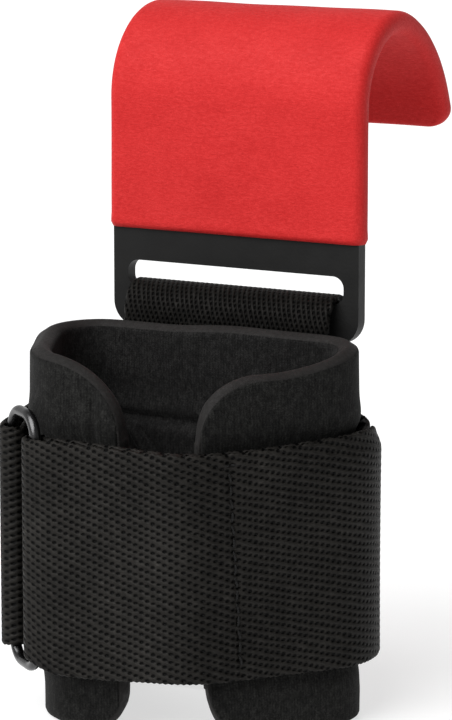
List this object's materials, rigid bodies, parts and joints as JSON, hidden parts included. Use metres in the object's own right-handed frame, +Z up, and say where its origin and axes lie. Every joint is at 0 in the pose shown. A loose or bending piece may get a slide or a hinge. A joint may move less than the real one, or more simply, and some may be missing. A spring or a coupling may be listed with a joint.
{
  "type": "weight lifting hook",
  "caption": "Rubber-covered steel hook hung by webbing from a padded wrist cuff, which closes with a webbing strap through a wire ring.",
  "frame": {"origin": "on the pad's bottom edge, in the middle of its back wall", "axes": "+Z up along the forearm, +X across the hook, +Y from the wrist out past the back of the hook"},
  "size_m": [0.1023, 0.1292, 0.1864],
  "materials": {
    "foam": "matt closed-cell foam",
    "knit": "fine knit facing",
    "webbing": "heavy twill nylon webbing",
    "loop_pile": "loop pile",
    "hook_pile": "moulded hooks",
    "thread": "nylon thread",
    "black_steel": "satin powder coat",
    "red_rubber": "matt dipped rubber",
    "ring_metal": "black nickel wire"
  },
  "bodies": {
    "cuff": {"pad_foam": "foam", "pad_outer_facing": "knit", "pad_lining": "knit", "hook_webbing": "webbing", "webbing_stitching": "thread", "closing_strap": "webbing", "loop_tape": "loop_pile", "strap_anchor_stitching": "thread", "ring_keeper": "webbing", "keeper_anchor_stitching": "thread", "keeper_fold_stitching": "thread"},
    "hook": {"hook_plate": "black_steel", "hook_cover": "red_rubber"},
    "ring": {"strap_ring": "ring_metal"},
    "strap_end": {"strap_tail": "webbing", "hook_tape": "hook_pile", "tail_stitching": "thread"}
  },
  "joints": [
    {"name": "hook_swing", "type": "hinge", "parent": "cuff", "child": "hook", "pos_m": [0, 0.0117, 0.1035], "axis": [1, 0, 0], "range_deg": [-115, 70]},
    {"name": "ring_swivel", "type": "hinge", "parent": "cuff", "child": "ring", "pos_m": [-0.03782, -0.04494, 0.05], "axis": [0, 0, 1], "range_deg": [-1, 1]},
    {"name": "tail_peel", "type": "hinge", "parent": "cuff", "child": "strap_end", "pos_m": [0.0295, -0.04534, 0.05], "axis": [0, 0, -1], "range_deg": [0, 75]}
  ]
}
